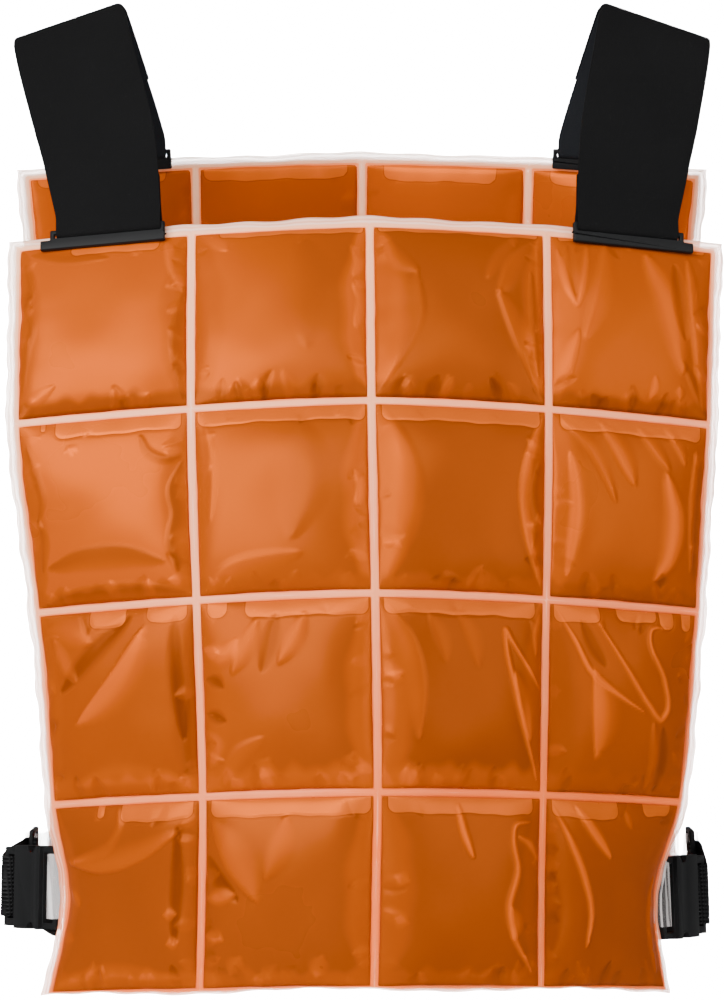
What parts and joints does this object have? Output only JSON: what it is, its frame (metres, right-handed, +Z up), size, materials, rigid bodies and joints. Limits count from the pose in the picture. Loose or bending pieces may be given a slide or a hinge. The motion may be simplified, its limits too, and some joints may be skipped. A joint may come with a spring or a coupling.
{
  "type": "cooling vest",
  "caption": "Cooling vest as worn: welded panels of liquid-filled cells in front and behind, joined by flat shoulder straps and by buckled webbing at each side of the waist",
  "frame": {"origin": "between the shoulders, level with the underside of the straps where they rest on them", "axes": "+X to the wearer's left, -Y out of the front panel, +Z up"},
  "size_m": [0.3817, 0.2769, 0.5273],
  "materials": {
    "fill": "glossy film over orange liquid",
    "film": "clear welded film, tinted by what lies under it",
    "clear_loop": "clear flexible film",
    "strap": "matte hook-and-loop cloth",
    "webbing": "ribbed woven webbing",
    "plastic": "satin moulded plastic"
  },
  "bodies": {
    "root": {"front_film": "film", "front_cell_r1c1": "fill", "front_cell_r1c2": "fill", "front_cell_r1c3": "fill", "front_cell_r1c4": "fill", "front_cell_r2c1": "fill", "front_cell_r2c2": "fill", "front_cell_r2c3": "fill", "front_cell_r2c4": "fill", "front_cell_r3c1": "fill", "front_cell_r3c2": "fill", "front_cell_r3c3": "fill", "front_cell_r3c4": "fill", "front_cell_r4c1": "fill", "front_cell_r4c2": "fill", "front_cell_r4c3": "fill", "front_cell_r4c4": "fill", "back_film": "film", "back_cell_r1c1": "fill", "back_cell_r1c2": "fill", "back_cell_r1c3": "fill", "back_cell_r1c4": "fill", "back_cell_r2c1": "fill", "back_cell_r2c2": "fill", "back_cell_r2c3": "fill", "back_cell_r2c4": "fill", "back_cell_r3c1": "fill", "back_cell_r3c2": "fill", "back_cell_r3c3": "fill", "back_cell_r3c4": "fill", "back_cell_r4c1": "fill", "back_cell_r4c2": "fill", "back_cell_r4c3": "fill", "back_cell_r4c4": "fill", "front_ring_right": "plastic", "front_ring_left": "plastic", "back_ring_right": "plastic", "back_ring_left": "plastic", "shoulder_strap_front_right": "strap", "shoulder_strap_front_left": "strap", "shoulder_strap_back_right": "strap", "shoulder_strap_back_left": "strap", "front_loop_right": "clear_loop", "front_loop_left": "clear_loop", "back_loop_right": "clear_loop", "back_loop_left": "clear_loop", "buckle_socket_right": "plastic", "buckle_socket_left": "plastic", "buckle_plug_right": "plastic", "buckle_plug_left": "plastic", "side_link_right": "plastic", "side_link_left": "plastic", "side_webbing_right": "webbing", "side_webbing_left": "webbing"}
  },
  "joints": []
}
